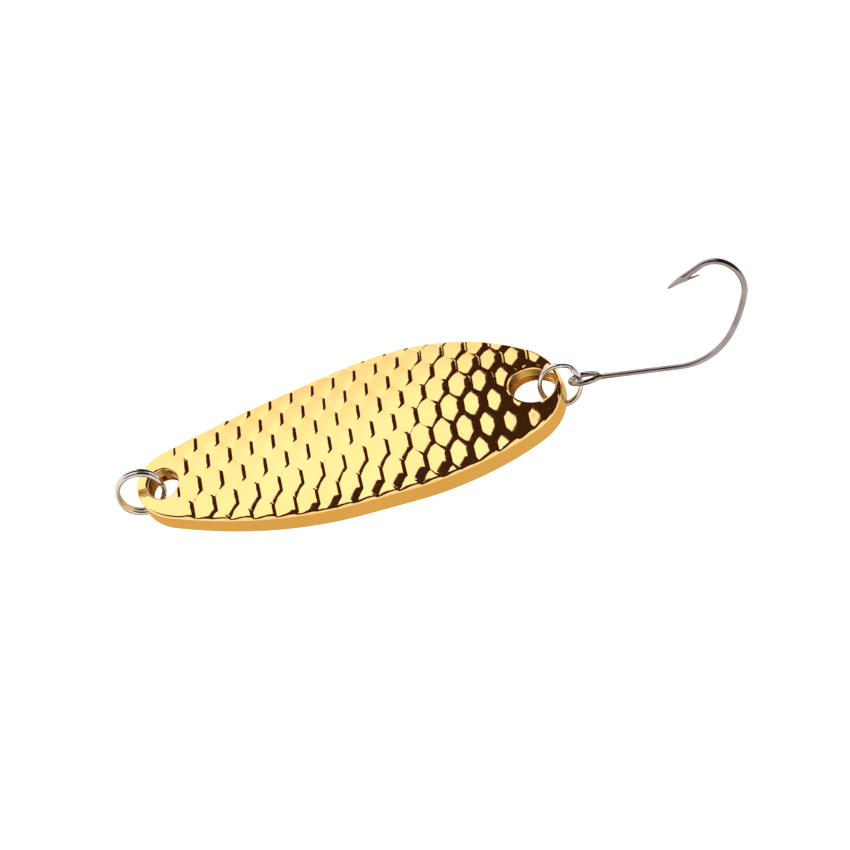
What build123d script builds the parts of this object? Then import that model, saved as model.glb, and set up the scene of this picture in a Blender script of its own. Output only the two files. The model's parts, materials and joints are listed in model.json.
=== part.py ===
from build123d import *
import os
from math import cos, radians, sin, sqrt

os.makedirs("parts", exist_ok=True)

# A casting spoon lies domed face up, with its hook trailing. +X runs from the line end to the tail,
# +Y across the blade and +Z up. The origin is on the floor, under the middle of the footprint.

# ---- driving dimensions, in mm and degrees ----
blade_length = 38.6
blade_width = 16.5
blade_thickness = 1.8
blade_middle_x = -8.203      # middle of the blade's length
nose_height = 6.334          # top face above the floor at the line end
nose_radius = 4.2
tail_radius = 5.7
widest_beyond_middle = 5.0
dome_radius = 28.0           # across the blade, on the top face
nose_slope = 8.5            # the top face falls away from the line end at this angle
crown_slope = 3.0            # then rises a little
tail_slope = 16.0            # and falls again to the tail
nose_curve_radius = 100.0
back_curve_radius = 46.0
blade_edge_radius = 0.15

front_hole_length = 2.7
front_hole_width = 3.4
front_strip = 1.05           # metal left between the hole and the line end
rear_hole_diameter = 3.9
rear_strip = 0.55

turn_gap = 0.02              # between the two turns of a split ring
step_angle = 38.0            # the wire climbs from one turn to the next over this angle
end_gap_angle = 4.0          # from the end of a turn to the climb beside it
front_ring_diameter = 4.6
front_ring_wire = 0.46
front_ring_lean = 14.5       # the ring's axis, tipped up from -Y
front_ring_along = -0.35     # ring centre from the strip's centre, along X
front_ring_up = 0.36         # and up the ring
front_ring_start = 20.0     # where the wire starts, round the ring from +X
rear_ring_diameter = 4.0
rear_ring_wire = 0.40
rear_ring_lean = 30.0
rear_ring_along = 0.02
rear_ring_up = 0.20
rear_ring_start = 84.0

hook_wire = 0.46
hang_angle = -3.4           # where the eye sits round the rear ring, from +X
eye_slack = 0.38             # from the ring's wire out to the eye's centre
shank_heading = -14.7        # the shank, turned from +X
bend_lean = 31.7             # the bend's plane, leant back from upright
eye_radius = 1.22            # all hook radii are of the wire's centre line
eye_turn = 318.0
neck_radius = 0.80
shank_end = 8.7              # where the bend starts, from the eye's centre
heel_radius = 6.8
heel_turn = 52.7
back_radius = 12.7
back_turn = 15.9
throat_radius = 2.42
throat_turn = 138.0
spear_length = 1.8
point_length = 1.9
point_tip_radius = 0.03
barb_root = 0.6              # from the start of the point towards its tip
barb_length = 2.1
barb_angle = 16.0
barb_width = 0.18


# ---- blade: a domed strip swept along an S curve, cut to its outline ----
nose_x = blade_middle_x - blade_length / 2
tail_x = blade_middle_x + blade_length / 2
widest_x = blade_middle_x + widest_beyond_middle
half_width = blade_width / 2
overrun = 1.0                # the strip runs past the outline all round
strip_half = half_width + overrun

with BuildLine(Plane.XZ) as spine:
    nose_curve = JernArc(
        (nose_x - overrun, nose_height + overrun * sin(radians(nose_slope))),
        (cos(radians(nose_slope)), -sin(radians(nose_slope))),
        nose_curve_radius,
        nose_slope + crown_slope,
    )
    back_curve = JernArc(nose_curve @ 1, nose_curve % 1, back_curve_radius, -crown_slope - tail_slope)
    tail_run = (tail_x + overrun - (back_curve @ 1).X) / cos(radians(tail_slope))
    Line(back_curve @ 1, back_curve @ 1 + (back_curve % 1) * tail_run)

under_radius = dome_radius - blade_thickness
top_drop = dome_radius - sqrt(dome_radius ** 2 - strip_half ** 2)
under_drop = dome_radius - sqrt(under_radius ** 2 - strip_half ** 2)

# This plane's own y axis points up, since its x axis is taken across the blade towards +Y.
with BuildSketch(Plane(origin=nose_curve @ 0, x_dir=(0, 1, 0), z_dir=nose_curve % 0)) as strip_section:
    with BuildLine():
        top = ThreePointArc((-strip_half, -top_drop), (0, 0), (strip_half, -top_drop))
        under = ThreePointArc((-strip_half, -under_drop), (0, -blade_thickness), (strip_half, -under_drop))
        Line(top @ 0, under @ 0)
        Line(top @ 1, under @ 1)
    make_face()


def side_meeting_point(end_centre, end_radius):
    """Where an end arc meets the side arc that is level at the blade's widest point."""
    run = end_centre - widest_x
    side_radius = (run ** 2 + half_width ** 2 - end_radius ** 2) / (2 * (half_width - end_radius))
    outward = Vector(run, side_radius - half_width).normalized()
    return Vector(end_centre, 0) + outward * end_radius


nose_meeting = side_meeting_point(nose_x + nose_radius, nose_radius)
tail_meeting = side_meeting_point(tail_x - tail_radius, tail_radius)

with BuildSketch() as outline:
    with BuildLine():
        nose_end = TangentArc((nose_x, 0), nose_meeting, tangent=(0, 1))
        front_side = TangentArc(nose_meeting, (widest_x, half_width), tangent=nose_end % 1)
        rear_side = TangentArc((widest_x, half_width), tail_meeting, tangent=front_side % 1)
        TangentArc(tail_meeting, (tail_x, 0), tangent=rear_side % 1)
        mirror(about=Plane.XZ)
    make_face()

with BuildSketch() as holes:
    with Locations((nose_x + front_strip + front_hole_length / 2, 0)):
        Ellipse(front_hole_length / 2, front_hole_width / 2)
    with Locations((tail_x - rear_strip - rear_hole_diameter / 2, 0)):
        Circle(rear_hole_diameter / 2)

with BuildPart() as spoon_blade:
    sweep(strip_section.sketch, path=spine.wire())
    extrude(outline.sketch, amount=blade_width, both=True, mode=Mode.INTERSECT)
    side_walls = spoon_blade.faces().filter_by(lambda face: abs(face.normal_at().Z) < 0.05)
    rim = side_walls.edges().filter_by(lambda edge: abs((edge % 0.5).Z) < 0.5)
    fillet(rim, blade_edge_radius)
    extrude(holes.sketch, amount=blade_width, both=True, mode=Mode.SUBTRACT)

spoon_blade.part.label = "spoon_blade"


# ---- split rings: each is two flat turns of one wire, with a climb between them ----
def ring_plane(strip_x, along, up, lean):
    """Plane of a ring through a hole: x along +X, y up the ring, z along the ring's axis."""
    lean_sin = sin(radians(lean))
    lean_cos = cos(radians(lean))
    strip_top = spine.wire().intersect(Plane(origin=(strip_x, 0, 0), z_dir=(1, 0, 0))).vertex().center()
    strip_middle = strip_top - Vector(0, 0, blade_thickness / 2)
    centre = strip_middle + Vector(along, 0, 0) + Vector(0, lean_sin, lean_cos) * up
    return Plane(origin=centre, x_dir=(1, 0, 0), z_dir=(0, -lean_cos, lean_sin))


def split_ring(plane, diameter, wire, start):
    """Part of a split ring whose wire starts at an angle round the plane's z axis."""
    radius = (diameter - wire) / 2
    half_pitch = (wire + turn_gap) / 2
    turn = 360.0 - step_angle - end_gap_angle
    climb_end = start + turn + step_angle
    with BuildLine() as path:
        first = Edge.make_circle(radius, plane.offset(-half_pitch), start, start + turn)
        second = Edge.make_circle(radius, plane.offset(half_pitch), climb_end, climb_end + turn)
        add(first)
        add(second)
        Spline(first @ 1, second @ 0, tangents=(first % 1, second % 0))
    with BuildPart() as ring:
        with BuildSketch(Plane(origin=first @ 0, z_dir=first % 0)):
            Circle(wire / 2)
        sweep(path=path.wire())
    return ring.part


front_plane = ring_plane(nose_x + front_strip / 2, front_ring_along, front_ring_up, front_ring_lean)
rear_plane = ring_plane(tail_x - rear_strip / 2, rear_ring_along, rear_ring_up, rear_ring_lean)

front_ring = split_ring(front_plane, front_ring_diameter, front_ring_wire, front_ring_start)
front_ring.label = "front_split_ring"

rear_ring = split_ring(rear_plane, rear_ring_diameter, rear_ring_wire, rear_ring_start)
rear_ring.label = "rear_split_ring"


# ---- hook: one wire, with its eye looped square to the bend's plane ----
wire_out = (rear_ring_diameter - rear_ring_wire) / 2
hang_x = cos(radians(hang_angle))
hang_y = sin(radians(hang_angle))
pivot = rear_plane.from_local_coords(Vector(hang_x, hang_y) * wire_out)
eye_centre = rear_plane.from_local_coords(Vector(hang_x, hang_y) * (wire_out + eye_slack))
pivot_axis = rear_plane.from_local_coords(Vector(-hang_y, hang_x)) - rear_plane.origin

shank_direction = Vector(1, 0, 0).rotate(Axis.Z, shank_heading)
bend_normal = Vector(0, -1, 0).rotate(Axis.Z, shank_heading).rotate(Axis((0, 0, 0), shank_direction), -bend_lean)
bend_plane = Plane(origin=eye_centre, x_dir=shank_direction, z_dir=bend_normal)
eye_plane = Plane(origin=eye_centre, x_dir=shank_direction, z_dir=-bend_plane.y_dir)

# The neck leaves the shank's line and meets the eye's loop without a corner.
neck_start = sqrt((eye_radius + neck_radius) ** 2 - neck_radius ** 2)
neck_turn = Vector(0, 1).get_angle(Vector(neck_start, neck_radius))

with BuildLine(eye_plane) as eye_line:
    neck = JernArc((neck_start, 0), (-1, 0), neck_radius, -neck_turn)
    JernArc(neck @ 1, neck % 1, eye_radius, eye_turn)

with BuildLine(bend_plane) as bend_line:
    straight = Line((neck_start, 0), (shank_end, 0))
    heel = JernArc(straight @ 1, straight % 1, heel_radius, heel_turn)
    back = JernArc(heel @ 1, heel % 1, back_radius, back_turn)
    throat = JernArc(back @ 1, back % 1, throat_radius, throat_turn)
    spear = Line(throat @ 1, throat @ 1 + (throat % 1) * spear_length)

forward = spear % 1
inward = bend_normal.cross(forward)
barb_front = spear @ 1 + forward * barb_root + inward * hook_wire / 4
barb_back = forward * -cos(radians(barb_angle)) + inward * sin(radians(barb_angle))
barb_corners = [
    barb_front,
    barb_front + barb_back * barb_length,
    barb_front - forward * barb_length / 2 - inward * hook_wire / 4,
]

with BuildPart() as hook:
    with BuildSketch(Plane(origin=spear @ 1, z_dir=forward)):
        Circle(hook_wire / 2)
    sweep(path=Wire(bend_line.edges() + eye_line.edges()))
    with Locations(Plane(origin=spear @ 1, z_dir=forward)):
        Cone(hook_wire / 2, point_tip_radius, point_length, align=(Align.CENTER, Align.CENTER, Align.MIN))
    with BuildSketch(bend_plane):
        with BuildLine():
            Polyline([bend_plane.to_local_coords(corner) for corner in barb_corners], close=True)
        make_face()
    extrude(amount=barb_width / 2, both=True)

hook.part.label = "hook"


# ---- files, and the places that the joints turn about ----
pieces = [spoon_blade.part, front_ring, rear_ring, hook.part]
for piece in pieces:
    export_step(piece, f"parts/{piece.label}.step")

whole = Compound(children=pieces).bounding_box()
print("box", whole.min, whole.max)
print("front ring", front_plane.origin, "axis", front_plane.z_dir)
print("rear ring", rear_plane.origin, "axis", rear_plane.z_dir)
print("hook", pivot, "axis", pivot_axis)
print("bend plane", bend_plane.origin, bend_plane.x_dir, bend_plane.y_dir)
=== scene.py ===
import json
import math

import bpy
import numpy as np
from mathutils import Matrix, Vector
from mathutils.geometry import delaunay_2d_cdt


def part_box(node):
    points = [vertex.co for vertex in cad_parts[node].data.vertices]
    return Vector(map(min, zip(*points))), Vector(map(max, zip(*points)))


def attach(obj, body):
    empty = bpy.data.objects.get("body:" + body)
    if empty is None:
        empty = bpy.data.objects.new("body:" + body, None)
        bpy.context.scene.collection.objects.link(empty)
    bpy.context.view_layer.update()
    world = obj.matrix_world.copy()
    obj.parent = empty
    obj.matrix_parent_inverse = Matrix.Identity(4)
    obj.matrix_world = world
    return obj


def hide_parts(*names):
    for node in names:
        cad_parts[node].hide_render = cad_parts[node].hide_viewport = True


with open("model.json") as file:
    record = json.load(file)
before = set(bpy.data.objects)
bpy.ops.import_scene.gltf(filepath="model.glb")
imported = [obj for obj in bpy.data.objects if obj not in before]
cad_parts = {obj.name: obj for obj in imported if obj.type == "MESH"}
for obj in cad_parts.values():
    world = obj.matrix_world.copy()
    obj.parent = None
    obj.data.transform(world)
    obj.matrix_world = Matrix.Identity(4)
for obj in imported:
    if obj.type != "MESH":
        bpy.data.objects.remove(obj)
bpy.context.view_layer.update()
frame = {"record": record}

MM = 0.001
joints = {joint["name"]: joint for joint in frame["record"]["behaviour"]["joints"]}
blade_low, blade_high = (Vector(corner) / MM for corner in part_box("spoon_blade"))


# ---- node helpers ----
NOISE_LOW, NOISE_HIGH = 0.3, 0.7      # a noise texture's values mostly lie between these


def new_material(name, base, metallic, roughness):
    """A principled material with its constant values on the shader's own sockets."""
    material = bpy.data.materials.new(name)
    material.use_nodes = True
    nodes = material.node_tree.nodes
    shader = nodes["Principled BSDF"]
    shader.inputs["Base Color"].default_value = (*base, 1)
    shader.inputs["Metallic"].default_value = metallic
    shader.inputs["Roughness"].default_value = roughness
    return material, nodes, material.node_tree.links, shader


def noise(nodes, links, scale, detail=3.0, roughness=0.5):
    """Noise in the object's own coordinates, so that it stays on the surface."""
    place = nodes.new("ShaderNodeTexCoord")
    texture = nodes.new("ShaderNodeTexNoise")
    texture.inputs["Scale"].default_value = scale
    texture.inputs["Detail"].default_value = detail
    texture.inputs["Roughness"].default_value = roughness
    links.new(place.outputs["Object"], texture.inputs["Vector"])
    return texture


def spread(nodes, links, value, low, high):
    """Stretches a noise value over another range."""
    node = nodes.new("ShaderNodeMapRange")
    node.inputs["From Min"].default_value = NOISE_LOW
    node.inputs["From Max"].default_value = NOISE_HIGH
    node.inputs["To Min"].default_value = low
    node.inputs["To Max"].default_value = high
    links.new(value, node.inputs["Value"])
    return node.outputs["Result"]


def bump(nodes, links, height, strength, distance, onto):
    """Raises a shader's surface, or the surface that another bump starts from."""
    node = nodes.new("ShaderNodeBump")
    node.inputs["Strength"].default_value = strength
    node.inputs["Distance"].default_value = distance
    links.new(height, node.inputs["Height"])
    links.new(node.outputs["Normal"], onto.inputs["Normal"])
    return node


def two_tones(nodes, links, value, dark, light, shader):
    """Clouds the base colour between two tones."""
    ramp = nodes.new("ShaderNodeValToRGB")
    ramp.color_ramp.elements[0].position = NOISE_LOW
    ramp.color_ramp.elements[1].position = NOISE_HIGH
    ramp.color_ramp.elements[0].color = (*dark, 1)
    ramp.color_ramp.elements[1].color = (*light, 1)
    links.new(value, ramp.inputs["Fac"])
    links.new(ramp.outputs["Color"], shader.inputs["Base Color"])


def gold_plate():
    """Bright plating, with a fine grain over a faint unevenness of the casting."""
    material, nodes, links, shader = new_material("gold_plate", (1.0, 0.63, 0.25), 1.0, 0.08)
    cloud = noise(nodes, links, 180.0)
    two_tones(nodes, links, cloud.outputs["Fac"], (1.0, 0.61, 0.23), (1.0, 0.66, 0.27), shader)
    grain = noise(nodes, links, 2500.0, 4.0)
    links.new(spread(nodes, links, grain.outputs["Fac"], 0.05, 0.12), shader.inputs["Roughness"])
    fine = bump(nodes, links, grain.outputs["Fac"], 0.04, 0.00002, shader)
    wave = noise(nodes, links, 850.0, 1.0)
    bump(nodes, links, wave.outputs["Fac"], 0.35, 0.00003, fine)
    return material


def ring_steel():
    """Bright spring wire."""
    material, nodes, links, shader = new_material("ring_steel", (0.62, 0.60, 0.62), 1.0, 0.12)
    cloud = noise(nodes, links, 900.0)
    two_tones(nodes, links, cloud.outputs["Fac"], (0.56, 0.54, 0.56), (0.68, 0.66, 0.68), shader)
    links.new(spread(nodes, links, cloud.outputs["Fac"], 0.08, 0.16), shader.inputs["Roughness"])
    bump(nodes, links, cloud.outputs["Fac"], 0.05, 0.00002, shader)
    return material


def hook_nickel():
    """Darker nickel plating, as on a black-nickel hook."""
    material, nodes, links, shader = new_material("hook_nickel", (0.30, 0.265, 0.27), 1.0, 0.10)
    cloud = noise(nodes, links, 700.0)
    two_tones(nodes, links, cloud.outputs["Fac"], (0.25, 0.215, 0.22), (0.36, 0.32, 0.325), shader)
    links.new(spread(nodes, links, cloud.outputs["Fac"], 0.07, 0.13), shader.inputs["Roughness"])
    bump(nodes, links, cloud.outputs["Fac"], 0.05, 0.00002, shader)
    return material


def add_piece(name, points, faces, material, body, node):
    """A smooth mesh piece, given in millimetres, that rides on a body and stands for a CAD node."""
    mesh = bpy.data.meshes.new(name)
    mesh.from_pydata([tuple(float(c) * MM for c in p) for p in points], [], faces)
    mesh.materials.append(material)
    mesh.polygons.foreach_set("use_smooth", [True] * len(mesh.polygons))
    mesh.validate()
    piece = bpy.data.objects.new(name, mesh)
    bpy.context.scene.collection.objects.link(piece)
    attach(piece, body)
    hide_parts(node)
    return piece


# ---- blade surfaces, as the CAD model sweeps them, in mm ----
THICKNESS = 1.8
DOME_RADIUS = 28.0
NOSE_RADIUS, TAIL_RADIUS = 4.2, 5.7
WIDEST_BEYOND_MIDDLE = 5.0
NOSE_SLOPE, CROWN_SLOPE, TAIL_SLOPE = (math.radians(a) for a in (8.5, 3.0, 16.0))
NOSE_CURVE_RADIUS, BACK_CURVE_RADIUS = 100.0, 46.0
OVERRUN = 1.0                # how far beyond the nose the swept strip starts
EDGE_ROUND = 0.24
NOSE_X, TAIL_X = blade_low.x, blade_high.x
blade_middle_x = (NOSE_X + TAIL_X) / 2
HALF_WIDTH = blade_high.y
WIDEST_X = blade_middle_x + WIDEST_BEYOND_MIDDLE
NOSE_HEIGHT = 6.334
FRONT_STRIP, FRONT_HALF_LENGTH, FRONT_HALF_WIDTH = 1.05, 1.35, 1.70
REAR_STRIP, REAR_HOLE_RADIUS = 0.55, 1.95
FRONT_HOLE = (      # centre x, half length, half width
    NOSE_X + FRONT_STRIP + FRONT_HALF_LENGTH,
    FRONT_HALF_LENGTH,
    FRONT_HALF_WIDTH,
)
REAR_HOLE = (TAIL_X - REAR_STRIP - REAR_HOLE_RADIUS, REAR_HOLE_RADIUS, REAR_HOLE_RADIUS)

start_x, start_z = NOSE_X - OVERRUN, NOSE_HEIGHT + OVERRUN * math.sin(NOSE_SLOPE)
nose_centre = (
    start_x + NOSE_CURVE_RADIUS * math.sin(NOSE_SLOPE),
    start_z + NOSE_CURVE_RADIUS * math.cos(NOSE_SLOPE),
)
join_x = nose_centre[0] + NOSE_CURVE_RADIUS * math.sin(CROWN_SLOPE)
join_z = nose_centre[1] - NOSE_CURVE_RADIUS * math.cos(CROWN_SLOPE)
back_centre = (
    join_x + BACK_CURVE_RADIUS * math.sin(CROWN_SLOPE),
    join_z - BACK_CURVE_RADIUS * math.cos(CROWN_SLOPE),
)
end_x = back_centre[0] + BACK_CURVE_RADIUS * math.sin(TAIL_SLOPE)
end_z = back_centre[1] + BACK_CURVE_RADIUS * math.cos(TAIL_SLOPE)


def swept_height(x, y, below):
    """Height of the domed strip's face that lies a distance below the top face."""
    drop = DOME_RADIUS - np.sqrt((DOME_RADIUS - below) ** 2 - y ** 2)
    nose_r = NOSE_CURVE_RADIUS + drop
    back_r = BACK_CURVE_RADIUS - drop
    on_nose = nose_centre[1] - np.sqrt(nose_r ** 2 - (x - nose_centre[0]) ** 2)
    on_back = back_centre[1] + np.sqrt(np.maximum(back_r ** 2 - (x - back_centre[0]) ** 2, 0.0))
    nose_join = join_x + drop * math.sin(CROWN_SLOPE)
    tail_join = end_x - drop * math.sin(TAIL_SLOPE)
    on_tail = end_z - drop * math.cos(TAIL_SLOPE) - (x - tail_join) * math.tan(TAIL_SLOPE)
    return np.where(x < nose_join, on_nose, np.where(x < tail_join, on_back, on_tail))


# ---- blade outline: an egg of tangent arcs, symmetric about the X axis ----
def side_radius(end_centre, end_radius):
    """Radius of the side arc that meets an end arc and is widest at WIDEST_X."""
    run = end_centre - WIDEST_X
    return (run ** 2 + HALF_WIDTH ** 2 - end_radius ** 2) / (2 * (HALF_WIDTH - end_radius))


nose_mid, tail_mid = NOSE_X + NOSE_RADIUS, TAIL_X - TAIL_RADIUS
front_r, rear_r = side_radius(nose_mid, NOSE_RADIUS), side_radius(tail_mid, TAIL_RADIUS)
nose_angle = math.atan2(front_r - HALF_WIDTH, nose_mid - WIDEST_X)
tail_angle = math.atan2(rear_r - HALF_WIDTH, tail_mid - WIDEST_X)
OUTLINE_ARCS = (      # centre x, centre y, radius, first angle, last angle
    (nose_mid, 0.0, NOSE_RADIUS, math.pi, nose_angle),
    (WIDEST_X, HALF_WIDTH - front_r, front_r, nose_angle, math.pi / 2),
    (WIDEST_X, HALF_WIDTH - rear_r, rear_r, math.pi / 2, tail_angle),
    (tail_mid, 0.0, TAIL_RADIUS, tail_angle, 0.0),
)


def outline_loop(inset, spacing):
    """Points round the outline, all at one distance inside it."""
    half = []
    for x, y, radius, first, last in OUTLINE_ARCS:
        count = max(3, math.ceil(radius * abs(last - first) / spacing))
        for angle in np.linspace(first, last, count + 1)[:-1]:
            half.append((x + (radius - inset) * math.cos(angle), y + (radius - inset) * math.sin(angle)))
    half.append((TAIL_X - inset, 0.0))
    return np.array(half + [(x, -y) for x, y in half[-2:0:-1]])


def hole_loop(hole, outset, spacing):
    """Points round a hole, all at one distance outside it."""
    x, a, b = hole
    count = math.ceil(math.pi * (a + b) / spacing)
    angle = np.linspace(0, 2 * math.pi, count, endpoint=False)
    normal = np.stack([np.cos(angle) / a, np.sin(angle) / b], axis=1)
    normal /= np.linalg.norm(normal, axis=1, keepdims=True)
    return np.stack([x + a * np.cos(angle), b * np.sin(angle)], axis=1) + normal * outset


def inside_outline(x, y):
    """Distance inside the outline; negative outside."""
    y = np.abs(y)
    depth = []
    for cx, cy, radius, _, _ in OUTLINE_ARCS:
        depth.append(radius - np.hypot(x - cx, y - cy))
    front_angle = np.arctan2(y - OUTLINE_ARCS[1][1], x - WIDEST_X)
    rear_angle = np.arctan2(y - OUTLINE_ARCS[2][1], x - WIDEST_X)
    front = np.where(front_angle > nose_angle, depth[0], depth[1])
    rear = np.where(rear_angle < tail_angle, depth[3], depth[2])
    return np.where(x < WIDEST_X, front, rear)


def outside_hole(hole, x, y):
    """Roughly the distance outside a hole; negative inside it."""
    cx, a, b = hole
    return (np.hypot((x - cx) / a, y / b) - 1) * min(a, b)


# ---- fish-scale relief: hexagonal scales in staggered rows, each rising towards the tail ----
SCALE_LENGTH = 2.0265
ROW_PITCH = 2.52
SCALE_EDGE = 1.13            # length of a scale's square tail edge
SCALE_RISE = 0.30
PLAIN_NOSE_X = -24.6         # no scales nearer to the line end than this
SHOULDER, STEP = 1.0, 0.20   # widths over which a scale rounds off and then steps down to the next
TAIL_STEP_SHARE, SLANT_STEP_SHARE = 0.45, 0.06      # of the drop at a scale's square and slanted edges
FIRST_ROW = 3.80             # across the dome, measured round its arc
FIRST_TICK = -9.60
SOFTENING, SOFTENING_POINTS = 0.03, 6
SCALE_SKEW = 0.022           # the columns lean this much across the blade
SLANT_SHARE = 0.5            # how far a scale's slanted edges drop, beside its square one
SCALE_SINK = 0.2             # share of the rise that lies below the plain face
SCALE_VARIATION = 0.10       # scales differ this much in how steeply they rise
RIM_FADE, NOSE_FADE = 0.3, 1.5
ROWS, COLUMNS = range(-6, 4), range(-12, 14)      # more than cover the blade


def ease(t):
    """Goes smoothly from 0 to 1."""
    t = np.clip(t, 0, 1)
    return t * t * (3 - 2 * t)


def scale_cell(x, y):
    """Which scale a point is on, and the point's place in it."""
    arc = DOME_RADIUS * np.arcsin(y / DOME_RADIUS)
    x = x + SCALE_SKEW * (arc - FIRST_ROW)
    best = None
    row_here = np.floor((arc - FIRST_ROW) / ROW_PITCH)
    for step in (0, 1):
        row = row_here + step
        shift = np.where(row % 2 == 0, 0.0, 0.5)
        column = np.round((x - FIRST_TICK) / SCALE_LENGTH + 0.5 - shift)
        dx = x - FIRST_TICK - (column - 0.5 + shift) * SCALE_LENGTH
        dy = arc - FIRST_ROW - row * ROW_PITCH
        room = SCALE_EDGE / 2 + (ROW_PITCH - SCALE_EDGE) * (1 - 2 * np.abs(dx) / SCALE_LENGTH)
        over = np.abs(dy) - room
        if best is None:
            best = [over, row, column, dx, dy]
        else:
            nearer = over < best[0]
            found = (over, row, column, dx, dy)
            best = [np.where(nearer, new, old) for new, old in zip(found, best)]
    return best[1:]


def scale_number(row, column):
    """A repeatable number from -0.5 to 0.5 for each scale."""
    mixed = np.sin(row * 12.9898 + column * 78.233) * 43758.5453
    return mixed - np.floor(mixed) - 0.5


def relief(x, y):
    """Height of the scales above the plain domed face."""
    row, column, dx, dy = scale_cell(x, y)
    slant_run, slant_rise = SCALE_LENGTH / 2, ROW_PITCH - SCALE_EDGE
    slant = math.hypot(slant_run, slant_rise)
    to_tail = SCALE_LENGTH / 2 - dx
    to_far = (to_tail * slant_rise + (SCALE_EDGE / 2 - dy) * slant_run) / slant
    to_near = (to_tail * slant_rise + (SCALE_EDGE / 2 + dy) * slant_run) / slant
    drop = 0.0
    for share, step_share, distance in (
        (1.0, TAIL_STEP_SHARE, to_tail),
        (SLANT_SHARE, SLANT_STEP_SHARE, to_far),
        (SLANT_SHARE, SLANT_STEP_SHARE, to_near),
    ):
        rounding = np.clip(1 - distance / SHOULDER, 0, 1) ** 2
        step = np.clip(1 - distance / STEP, 0, 1)
        drop = np.maximum(drop, share * ((1 - step_share) * rounding + step_share * step))
    steeper = 1 + SCALE_VARIATION * scale_number(row, column)
    height = (dx / SCALE_LENGTH + 0.5) * steeper - drop
    return SCALE_RISE * (height - SCALE_SINK) * relief_share(x, y)


def soft_relief(x, y):
    """The relief averaged over a small circle, as plating softens its edges."""
    total = relief(x, y)
    for turn in range(SOFTENING_POINTS):
        angle = turn * 2 * math.pi / SOFTENING_POINTS
        total = total + relief(x + SOFTENING * math.cos(angle), y + SOFTENING * math.sin(angle))
    return total / (SOFTENING_POINTS + 1)


def relief_share(x, y):
    """How much of the scales shows: they die out at the rims, and leave the line end plain."""
    rim = np.minimum(inside_outline(x, y), outside_hole(REAR_HOLE, x, y))
    return ease(rim / RIM_FADE) * ease((x - PLAIN_NOSE_X) / NOSE_FADE)


def scale_edge_points(spacing):
    """Points along the tail edges of the scales: the foot of each step, its middle and its top."""
    points = []
    slant = math.hypot(SCALE_LENGTH / 2, ROW_PITCH - SCALE_EDGE)
    lean = (ROW_PITCH - SCALE_EDGE) / slant, SCALE_LENGTH / 2 / slant
    for row in ROWS:
        for column in COLUMNS:
            tick_x = FIRST_TICK + (column + 0.5 * (row % 2)) * SCALE_LENGTH
            arc = FIRST_ROW + row * ROW_PITCH
            corner, foot = (tick_x, arc + SCALE_EDGE / 2), (tick_x, arc - SCALE_EDGE / 2)
            apex = (tick_x - SCALE_LENGTH / 2, arc + ROW_PITCH - SCALE_EDGE / 2)
            low = (tick_x - SCALE_LENGTH / 2, arc - ROW_PITCH + SCALE_EDGE / 2)
            for first, last, skip, out in (
                (foot, corner, 0, (1.0, 0.0)),
                (corner, apex, 0, lean),
                (foot, low, 1, (lean[0], -lean[1])),
            ):
                run = math.dist(first, last)
                count = max(3, round(run / spacing))
                for t in np.linspace(0, 1, count, endpoint=False)[skip:]:
                    # Near a corner the steps of two edges would meet, so only the foot is kept.
                    for back in (0.0, STEP / 2, STEP) if 0.1 < t < 0.9 else (0.0,):
                        points.append((
                            first[0] + (last[0] - first[0]) * t - out[0] * back,
                            first[1] + (last[1] - first[1]) * t - out[1] * back,
                        ))
    points = np.array(points)
    points[:, 0] -= SCALE_SKEW * (points[:, 1] - FIRST_ROW)
    points[:, 1] = DOME_RADIUS * np.sin(np.clip(points[:, 1] / DOME_RADIUS, -0.6, 0.6))
    return points


# ---- blade mesh ----
GRID = 0.09
UNDERSIDE_GRID = GRID * 2.5
RIM_STEPS = 7
CREASE_CELL = 0.9            # even points this near to a crease, in grid spacings, make way for it


def face_points(spacing, margin, creases):
    """Even points over the face, clear of the outline and the holes."""
    xs = np.arange(NOSE_X, TAIL_X, spacing)
    ys = np.arange(-HALF_WIDTH, HALF_WIDTH, spacing * math.sqrt(3) / 2)
    grid_x, grid_y = np.meshgrid(xs, ys)
    grid_x = grid_x + (np.arange(len(ys)) % 2)[:, None] * spacing / 2
    points = np.stack([grid_x.ravel(), grid_y.ravel()], axis=1)
    if creases is not None:
        cell = spacing * CREASE_CELL
        taken = {tuple(c) for c in np.round(creases / cell).astype(int)}
        near = [tuple(c) in taken for c in np.round(points / cell).astype(int)]
        points = np.concatenate([points[~np.array(near)], creases])
    x, y = points[:, 0], points[:, 1]
    keep = inside_outline(x, y) > margin
    for hole in (FRONT_HOLE, REAR_HOLE):
        keep &= outside_hole(hole, x, y) > margin
    return points[keep]


def rounded_drop(depth, radius):
    """How far an edge of this radius falls at a depth in from the wall."""
    inside = np.clip(1 - depth / radius, 0, 1)
    return radius * (1 - np.sqrt(1 - inside ** 2))


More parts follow.
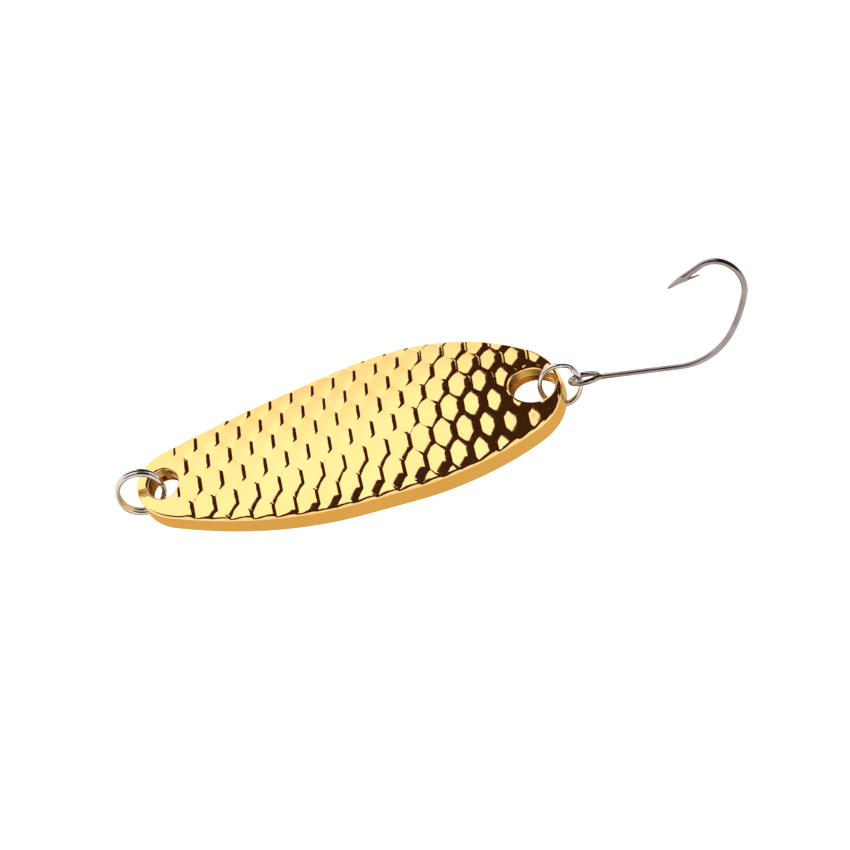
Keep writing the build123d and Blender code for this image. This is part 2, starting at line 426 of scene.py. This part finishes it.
def face_mesh(height, spacing, creases, up):
    """One face of the blade with rounded rims: points, triangles and the three wall loops."""
    insets = EDGE_ROUND * (1 - np.cos(np.linspace(0, math.pi / 2, RIM_STEPS + 1)))
    edges, loops, points, depths = [], [], [], []
    total = 0
    for maker in (
        lambda inset: outline_loop(inset, GRID),
        lambda inset: hole_loop(FRONT_HOLE, inset, GRID),
        lambda inset: hole_loop(REAR_HOLE, inset, GRID),
    ):
        for number, inset in enumerate(insets):
            loop = maker(inset)
            if number == 0:
                loops.append(list(range(total, total + len(loop))))
                edges += [(total + i, total + (i + 1) % len(loop)) for i in range(len(loop))]
            points.append(loop)
            depths.append(np.full(len(loop), inset))
            total += len(loop)
    inner = face_points(spacing, EDGE_ROUND + spacing * 0.4, creases)
    points = np.concatenate(points + [inner])
    depths = np.concatenate(depths + [np.full(len(inner), EDGE_ROUND)])
    made = delaunay_2d_cdt([Vector(p) for p in points], edges, [], 0, 1e-7, False)
    if len(made[0]) != len(points):
        raise ValueError("the triangulation merged or added points")
    corners = np.array([face for face in made[2] if len(face) == 3])
    centre = points[corners].mean(axis=1)
    keep = inside_outline(centre[:, 0], centre[:, 1]) > 0
    for x, a, b in (FRONT_HOLE, REAR_HOLE):
        keep &= np.hypot((centre[:, 0] - x) / a, centre[:, 1] / b) > 1
    corners = corners[keep]
    z = height(points[:, 0], points[:, 1])
    drop = rounded_drop(depths, EDGE_ROUND)
    z = z - drop if up else z + drop
    corners = corners if up else corners[:, ::-1]
    return np.column_stack([points, z]), corners, loops


def top_height(x, y):
    return swept_height(x, y, 0.0) + soft_relief(x, y)


def under_height(x, y):
    return swept_height(x, y, THICKNESS)


def make_blade(material):
    """The blade: a scaled top face, a plain underside and the walls between their loops."""
    top, top_faces, top_loops = face_mesh(top_height, GRID, scale_edge_points(GRID), True)
    under, under_faces, under_loops = face_mesh(under_height, UNDERSIDE_GRID, None, False)
    points = np.concatenate([top, under])
    shift = len(top)
    faces = [tuple(map(int, face)) for face in top_faces]
    faces += [tuple(int(i) + shift for i in face) for face in under_faces]
    for number, (upper, lower) in enumerate(zip(top_loops, under_loops)):
        for i in range(len(upper)):
            j = (i + 1) % len(upper)
            wall = (upper[i], upper[j], lower[j] + shift, lower[i] + shift)
            faces.append(wall if number == 0 else wall[::-1])
    return add_piece("blade_cast", points, faces, material, "blade", "spoon_blade")


# ---- wire parts ----
WIRE_SIDES = 28


def tube(path, radii):
    """A closed round tube along a path, with its rings carried without twist."""
    path = np.asarray(path, float)
    tangent = np.gradient(path, axis=0)
    tangent /= np.linalg.norm(tangent, axis=1, keepdims=True)
    side = np.cross(tangent[0], (0.3, 0.5, 0.8))      # any direction off the path does to start
    points, faces = [], []
    sides = WIRE_SIDES
    angle = np.linspace(0, 2 * math.pi, sides, endpoint=False)
    for place, along, radius in zip(path, tangent, radii):
        side = side - along * np.dot(side, along)
        side /= np.linalg.norm(side)
        other = np.cross(along, side)
        points.extend(place + radius * (np.outer(np.cos(angle), side) + np.outer(np.sin(angle), other)))
    for ring in range(len(path) - 1):
        for i in range(sides):
            j = (i + 1) % sides
            a, b = ring * sides, (ring + 1) * sides
            faces.append((a + i, a + j, b + j, b + i))
    last = (len(path) - 1) * sides
    faces.append(tuple(range(sides - 1, -1, -1)))
    faces.append(tuple(range(last, last + sides)))
    return points, faces


END_ROUND = 0.3              # of the wire's radius
END_ANGLES = (0.5, 1.0, math.pi / 2)


def cut_ends(path, radius, far_end=True):
    """Adds a small round to a tube's first end, and to its far end if wanted."""
    path = [np.asarray(p, float) for p in path]
    radii = [radius] * len(path)
    for first in (True, False) if far_end else (True,):
        a, b = (path[0], path[1]) if first else (path[-1], path[-2])
        out = (a - b) / np.linalg.norm(a - b)
        round_off = END_ROUND * radius
        extra = [a + out * round_off * math.sin(t) for t in END_ANGLES]
        shrunk = [radius - round_off * (1 - math.cos(t)) for t in END_ANGLES]
        if first:
            path, radii = extra[::-1] + path, shrunk[::-1] + radii
        else:
            path, radii = path + extra, radii + shrunk
    return path, radii


def ring_axes(name):
    """Centre and axes of a split ring, from its joint."""
    joint = joints[name]
    centre = np.array(joint["pos_m"]) / MM
    axis = np.array(joint["axis"]) / np.linalg.norm(joint["axis"])
    across = np.array((1.0, 0.0, 0.0))
    return centre, across, np.cross(axis, across), axis


STEP_ANGLE, END_GAP_ANGLE, TURN_GAP = 38.0, 4.0, 0.02
RING_SPACING = 2.0           # degrees between points on a ring
FRONT_RING = (4.6, 0.46, 20.0)      # diameter, wire, and where its first end lies
REAR_RING = (4.0, 0.40, 84.0)


def make_ring(name, joint, sizes, material, body, node):
    """A split ring: two turns side by side, with a step from one to the other."""
    diameter, wire, start = sizes
    centre, across, up, axis = ring_axes(joint)
    radius = (diameter - wire) / 2
    half_pitch = (wire + TURN_GAP) / 2
    turn = 360 - STEP_ANGLE - END_GAP_ANGLE
    path = []
    for angle in np.arange(0, 2 * turn + STEP_ANGLE + 0.1, RING_SPACING):
        height = half_pitch * (2 * float(ease((angle - turn) / STEP_ANGLE)) - 1)
        a = math.radians(start + angle)
        path.append(centre + radius * (across * math.cos(a) + up * math.sin(a)) + axis * height)
    path, radii = cut_ends(path, wire / 2)
    points, faces = tube(path, radii)
    return add_piece(name, points, faces, material, body, node)


HOOK_WIRE = 0.50
BEND_SWELL, BEND_SWELL_LENGTH = 0.14, 3.0     # the forged bend is thicker than the shank
EYE_SLACK, EYE_RADIUS, EYE_TURN, NECK_RADIUS = 0.38, 1.22, 318.0, 0.80
SHANK_HEADING, BEND_LEAN, SHANK_END = -14.7, 31.7, 8.7
BENDS = ((6.8, 52.7), (12.7, 15.9), (2.42, 138.0))      # radius and turn of each arc
SPEAR_LENGTH, POINT_LENGTH = 1.8, 1.9
TIP_RADIUS = 0.015
POINT_FULLNESS = 1.4         # how long the point stays thick before it tapers
BARB_AHEAD, BARB_LENGTH, BARB_ANGLE = 0.75, 2.1, math.radians(15)
BARB_DEPTHS, BARB_WIDTHS = (0.205, 0.055), (0.13, 0.05)      # half sizes at its root and its tip
BARB_SECTIONS, BARB_SIDES = 9, 12


def barb(spear_end, ahead, inward, normal):
    """A tapered sliver that stands back from the point: points and faces."""
    root = spear_end + ahead * BARB_AHEAD + inward * HOOK_WIRE / 6
    backward = -ahead * math.cos(BARB_ANGLE) + inward * math.sin(BARB_ANGLE)
    out = np.cross(normal, backward)
    points, faces = [], []
    for t in np.linspace(0, 1, BARB_SECTIONS):
        middle = root + backward * BARB_LENGTH * t
        depth = BARB_DEPTHS[1] + (BARB_DEPTHS[0] - BARB_DEPTHS[1]) * (1 - t)
        width = BARB_WIDTHS[1] + (BARB_WIDTHS[0] - BARB_WIDTHS[1]) * (1 - t)
        for angle in np.linspace(0, 2 * math.pi, BARB_SIDES, endpoint=False):
            points.append(middle + out * depth * math.cos(angle) + normal * width * math.sin(angle))
    for section in range(BARB_SECTIONS - 1):
        for side in range(BARB_SIDES):
            after = (side + 1) % BARB_SIDES
            a, b = section * BARB_SIDES, (section + 1) * BARB_SIDES
            faces.append((a + side, a + after, b + after, b + side))
    last = (BARB_SECTIONS - 1) * BARB_SIDES
    faces.append(tuple(range(BARB_SIDES - 1, -1, -1)))
    faces.append(tuple(range(last, last + BARB_SIDES)))
    return points, faces


def make_hook(material):
    """The hook: one wire from its closed eye to its point, with a barb."""
    ring_centre = np.array(joints["rear_ring_turn"]["pos_m"]) / MM
    pivot = np.array(joints["hook_swing"]["pos_m"]) / MM
    outward = (pivot - ring_centre) / np.linalg.norm(pivot - ring_centre)
    eye = pivot + outward * EYE_SLACK
    heading = Matrix.Rotation(math.radians(SHANK_HEADING), 3, "Z")
    along = heading @ Vector((1, 0, 0))
    normal = Matrix.Rotation(math.radians(-BEND_LEAN), 3, along) @ (heading @ Vector((0, -1, 0)))
    up = np.array(normal.cross(along))
    along, normal = np.array(along), np.array(normal)

    neck_start = math.sqrt((EYE_RADIUS + NECK_RADIUS) ** 2 - NECK_RADIUS ** 2)
    meet = math.atan2(NECK_RADIUS, neck_start)
    path = []
    for angle in np.radians(np.linspace(EYE_TURN, 0, 110)) + meet:
        path.append(eye + EYE_RADIUS * (along * math.cos(angle) + normal * math.sin(angle)))
    for angle in np.linspace(meet + math.pi, 1.5 * math.pi, 20)[1:]:
        path.append(eye + along * (neck_start + NECK_RADIUS * math.cos(angle))
                    + normal * NECK_RADIUS * (1 + math.sin(angle)))
    for distance in np.linspace(neck_start, SHANK_END, 24)[1:]:
        path.append(eye + along * distance)
    x, y, turned = SHANK_END, 0.0, 0.0
    for radius, turn in BENDS:
        cx, cy = x - radius * math.sin(turned), y + radius * math.cos(turned)
        for angle in turned + np.radians(np.linspace(0, turn, max(6, round(turn / 3))))[1:]:
            x, y = cx + radius * math.sin(angle), cy - radius * math.cos(angle)
            path.append(eye + along * x + up * y)
        turned += math.radians(turn)
    ahead = along * math.cos(turned) + up * math.sin(turned)
    inward = np.cross(normal, ahead)
    spear_end = path[-1] + ahead * SPEAR_LENGTH
    path += [path[-1] + ahead * SPEAR_LENGTH * t for t in (0.3, 0.6, 0.9)]
    path, radii = cut_ends(path, HOOK_WIRE / 2, far_end=False)
    for t in np.linspace(0, 1, 14):
        path.append(spear_end + ahead * POINT_LENGTH * t)
        radii.append(HOOK_WIRE / 2 * math.sqrt(max(1 - t ** POINT_FULLNESS, 0.0)) + TIP_RADIUS)
    first = next(i for i, p in enumerate(path) if np.dot(p - eye, along) > SHANK_END)
    bent = 0.0
    for i in range(first, len(path)):
        bent += math.dist(path[i], path[i - 1])
        radii[i] *= 1 + BEND_SWELL * float(ease(bent / BEND_SWELL_LENGTH))
    points, faces = tube(path, radii)

    barb_points, barb_faces = barb(spear_end, ahead, inward, normal)
    shift = len(points)
    points += barb_points
    faces += [tuple(i + shift for i in face) for face in barb_faces]
    return add_piece("hook_wire", points, faces, material, "hook", "hook")


steel = ring_steel()
make_blade(gold_plate())
make_ring("front_ring_wire", "front_ring_turn", FRONT_RING, steel, "front_ring", "front_split_ring")
make_ring("rear_ring_wire", "rear_ring_turn", REAR_RING, steel, "rear_ring", "rear_split_ring")
make_hook(hook_nickel())


# ---- studio, in metres ----
FLOOR_DEPTH, FLOOR_SIZE = 0.016, 20.0      # low enough for the hook to swing down over it
REFLECTOR_WIDTH, REFLECTOR_LENGTH = 0.05, 0.08


def stage_plane(name, centre, across, up, width, height, material):
    """A flat sheet of the studio, given by its middle and two directions."""
    centre, across, up = Vector(centre), Vector(across).normalized(), Vector(up).normalized()
    half_across, half_up = across * width / 2, up * height / 2
    signs = ((-1, -1), (1, -1), (1, 1), (-1, 1))
    corners = [centre + half_across * a + half_up * b for a, b in signs]
    mesh = bpy.data.meshes.new(name)
    mesh.from_pydata(corners, [], [(0, 1, 2, 3)])
    mesh.materials.append(material)
    plane = bpy.data.objects.new(name, mesh)
    bpy.context.scene.collection.objects.link(plane)
    return plane


def reflections_only(plane):
    """Hides a sheet from everything but reflections."""
    plane.visible_camera = False
    plane.visible_diffuse = False
    plane.visible_shadow = False


floor_paint, _, _, floor_shader = new_material("floor_paint", (0.35, 0.35, 0.35), 0.0, 0.9)
floor_shader.inputs["Emission Color"].default_value = (1, 1, 1, 1)
floor_shader.inputs["Emission Strength"].default_value = 0.85
stage_plane("floor", (0, 0, -FLOOR_DEPTH), (1, 0, 0), (0, 1, 0), FLOOR_SIZE, FLOOR_SIZE, floor_paint)


def dark_card(name, centre, across, up, width, height):
    """A dark brown card that only reflections see."""
    paint, _, _, shader = new_material(name + "_paint", (0.030, 0.011, 0.004), 0.0, 1.0)
    shader.inputs["Specular IOR Level"].default_value = 0.0
    reflections_only(stage_plane(name, centre, across, up, width, height, paint))


dark_card("card_beyond_tail", (0.12, 0.65, 0.65), (0, 1, 0), (0, 0, 1), 1.4, 1.26)
dark_card("card_over_camera", (0.0, -0.2325, 0.45), (1, 0.15, 0), (-0.15, 1, 0), 0.9, 0.635)

reflector_paint, _, _, reflector_shader = new_material("reflector_paint", (0.0, 0.0, 0.0), 0.0, 1.0)
reflector_shader.inputs["Emission Color"].default_value = (0.70, 0.56, 0.27, 1)
reflector_shader.inputs["Emission Strength"].default_value = 1.0
reflector_shader.inputs["Specular IOR Level"].default_value = 0.0
reflector = stage_plane(
    "reflector", (-0.01, -0.03, -0.0001), (1, 0, 0), (0, 1, 0),
    REFLECTOR_WIDTH, REFLECTOR_LENGTH, reflector_paint,
)
reflections_only(reflector)

world = bpy.data.worlds.new("studio_world")
bpy.context.scene.world = world
world.use_nodes = True
world_nodes, world_links = world.node_tree.nodes, world.node_tree.links
direction = world_nodes.new("ShaderNodeTexCoord")
parts = world_nodes.new("ShaderNodeSeparateXYZ")
fall = world_nodes.new("ShaderNodeValToRGB")
fall.color_ramp.elements[0].position = 0.0
fall.color_ramp.elements[0].color = (0.80, 0.68, 0.52, 1)
fall.color_ramp.elements[1].position = 0.75
fall.color_ramp.elements[1].color = (1, 1, 1, 1)
world_links.new(direction.outputs["Generated"], parts.inputs["Vector"])
world_links.new(parts.outputs["Z"], fall.inputs["Fac"])
world_links.new(fall.outputs["Color"], world_nodes["Background"].inputs["Color"])
world_nodes["Background"].inputs["Strength"].default_value = 1.4

bpy.context.scene.view_settings.view_transform = "Standard"

# ---- camera ----
VIEW_RIGHT = Vector((0.93369, -0.10983, -0.34081))
VIEW_UP = Vector((0.30846, 0.73008, 0.60978))
VIEW_BACK = VIEW_RIGHT.cross(VIEW_UP).normalized()
VIEW_UP = VIEW_BACK.cross(VIEW_RIGHT).normalized()
VIEW_RIGHT.normalize()
CAMERA_DISTANCE = 392.0
IMAGE_WIDTH, PIXELS_PER_MM = 850, 11.423
FRAME_WIDTH = IMAGE_WIDTH / PIXELS_PER_MM    # mm seen across the image at the aim point
AIM_BEYOND_MIDDLE, AIM_HEIGHT = 1.21, 5.595
AIM_TO_RIGHT, AIM_DOWN = 6.082, 0.202
aim = Vector((blade_middle_x + AIM_BEYOND_MIDDLE, 0, AIM_HEIGHT))
aim += VIEW_RIGHT * AIM_TO_RIGHT - VIEW_UP * AIM_DOWN
SENSOR_WIDTH = 36.0

camera_data = bpy.data.cameras.new("camera")
camera_data.sensor_width = SENSOR_WIDTH
camera_data.lens = SENSOR_WIDTH * CAMERA_DISTANCE / FRAME_WIDTH
camera_data.clip_start, camera_data.clip_end = 0.01, 100.0
camera = bpy.data.objects.new("camera", camera_data)
bpy.context.scene.collection.objects.link(camera)
turn = Matrix((VIEW_RIGHT, VIEW_UP, VIEW_BACK)).transposed()
camera.matrix_world = Matrix.Translation((aim + VIEW_BACK * CAMERA_DISTANCE) * MM) @ turn.to_4x4()
bpy.context.scene.camera = camera
